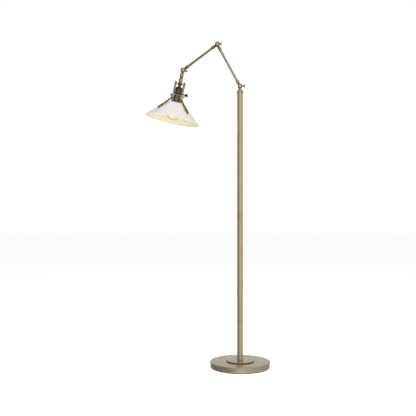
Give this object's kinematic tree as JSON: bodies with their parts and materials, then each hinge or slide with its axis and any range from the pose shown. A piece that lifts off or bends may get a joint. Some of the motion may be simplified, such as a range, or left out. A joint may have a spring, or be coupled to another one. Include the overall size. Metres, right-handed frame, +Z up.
{
  "type": "pharmacy floor lamp",
  "caption": "Floor lamp with a round weighted base, a straight pole, jointed swing arms with wing screws and a tilting conical shade.",
  "frame": {"origin": "centre of the underside of the felt pad, on the floor", "axes": "+Z up along the pole, the arm and shade reach towards -X, +Y is the rear, where the cord bushing is"},
  "size_m": [0.5788, 0.28, 1.5108],
  "materials": {
    "soft_brass": "satin lacquered soft gold",
    "yellow_brass": "satin, lacquered",
    "olive_bronze": "dark olive patina, satin",
    "dark_bronze": "dark oil-rubbed, satin",
    "enamel_white": "gloss white enamel",
    "steel_zinc": "zinc plated",
    "cast_iron": "rough casting, painted",
    "felt": "pressed felt",
    "phenolic": "moulded, matte",
    "wire_jacket": "extruded, matte",
    "bulb_glass": "clear"
  },
  "bodies": {
    "stand": {"felt_pad": "felt", "base_weight": "cast_iron", "base_shell": "soft_brass", "base_boss": "soft_brass", "cord_bushing": "phenolic", "foot_nut": "steel_zinc", "foot_washer": "steel_zinc", "foot_stud": "steel_zinc", "pole_plug": "steel_zinc", "pole_tube": "soft_brass", "pole_cap": "soft_brass", "pole_wire": "wire_jacket"},
    "turret": {"turret_neck": "soft_brass", "turret_lock_nut": "steel_zinc", "shoulder_pin": "soft_brass", "shoulder_pin_nut": "soft_brass"},
    "shoulder_screw": {"shoulder_wing_screw": "olive_bronze"},
    "lower_arm": {"lower_arm_tongue": "soft_brass", "lower_arm_rod": "soft_brass", "elbow_fork": "soft_brass", "elbow_pin": "soft_brass", "elbow_pin_nut": "soft_brass"},
    "elbow_screw": {"elbow_wing_screw": "olive_bronze"},
    "upper_arm": {"upper_arm_tongue": "soft_brass", "upper_arm_rod": "soft_brass", "wrist_fork": "soft_brass", "wrist_pin": "soft_brass", "wrist_pin_nut": "soft_brass"},
    "wrist_screw": {"wrist_wing_screw": "olive_bronze"},
    "head_mount": {"head_tongue": "soft_brass", "swivel_nipple": "steel_zinc", "swivel_ring": "olive_bronze"},
    "head": {"swivel_collar": "soft_brass", "yoke_bar": "dark_bronze", "yoke_post_left": "soft_brass", "yoke_post_right": "soft_brass", "post_finial_left": "soft_brass", "post_finial_right": "soft_brass", "socket_neck": "dark_bronze", "socket_cap": "dark_bronze", "socket_core": "phenolic", "socket_shell": "dark_bronze", "gallery_ring": "yellow_brass", "shade": "enamel_white", "bulb_cap": "yellow_brass", "bulb_glass": "bulb_glass", "bulb_stem": "bulb_glass", "strut_rod_1": "olive_bronze", "strut_ball_1": "yellow_brass", "strut_nut_1": "steel_zinc", "strut_screw_1": "dark_bronze", "strut_rod_2": "olive_bronze", "strut_ball_2": "yellow_brass", "strut_nut_2": "steel_zinc", "strut_screw_2": "dark_bronze", "strut_rod_3": "olive_bronze", "strut_ball_3": "yellow_brass", "strut_nut_3": "steel_zinc", "strut_screw_3": "dark_bronze"},
    "key": {"turn_key": "dark_bronze"}
  },
  "joints": [
    {"name": "pole_swivel", "type": "hinge", "parent": "stand", "child": "turret", "pos_m": [0, 0, 1.305], "axis": [0, 0, 1], "range_deg": [-170, 170]},
    {"name": "shoulder_tilt", "type": "hinge", "parent": "turret", "child": "lower_arm", "pos_m": [0, 0, 1.305], "axis": [0, 1, 0], "range_deg": [-35, 35]},
    {"name": "elbow_tilt", "type": "hinge", "parent": "lower_arm", "child": "upper_arm", "pos_m": [-0.10627, 0, 1.49991], "axis": [0, -1, 0], "range_deg": [-80, 15]},
    {"name": "wrist_tilt", "type": "hinge", "parent": "upper_arm", "child": "head_mount", "pos_m": [-0.26579, 0, 1.37927], "axis": [0, 1, 0], "range_deg": [-25, 75]},
    {"name": "head_swivel", "type": "hinge", "parent": "head_mount", "child": "head", "pos_m": [-0.26579, 0, 1.37927], "axis": [-0.2079, 0, -0.9781], "range_deg": [-150, 150]},
    {"name": "shoulder_screw_turn", "type": "hinge", "parent": "turret", "child": "shoulder_screw", "pos_m": [0, 0, 1.305], "axis": [0.9962, 0, 0.0872], "range_deg": [0, 270]},
    {"name": "elbow_screw_turn", "type": "hinge", "parent": "lower_arm", "child": "elbow_screw", "pos_m": [-0.10627, 0, 1.49991], "axis": [0.9945, 0, 0.1045], "range_deg": [0, 270]},
    {"name": "wrist_screw_turn", "type": "hinge", "parent": "upper_arm", "child": "wrist_screw", "pos_m": [-0.26579, 0, 1.37927], "axis": [0.9781, 0, -0.2079], "range_deg": [0, 270]},
    {"name": "key_turn", "type": "hinge", "parent": "head", "child": "key", "pos_m": [-0.28837, 0, 1.27304], "axis": [0.9069, 0.3746, -0.1928], "continuous": true}
  ]
}
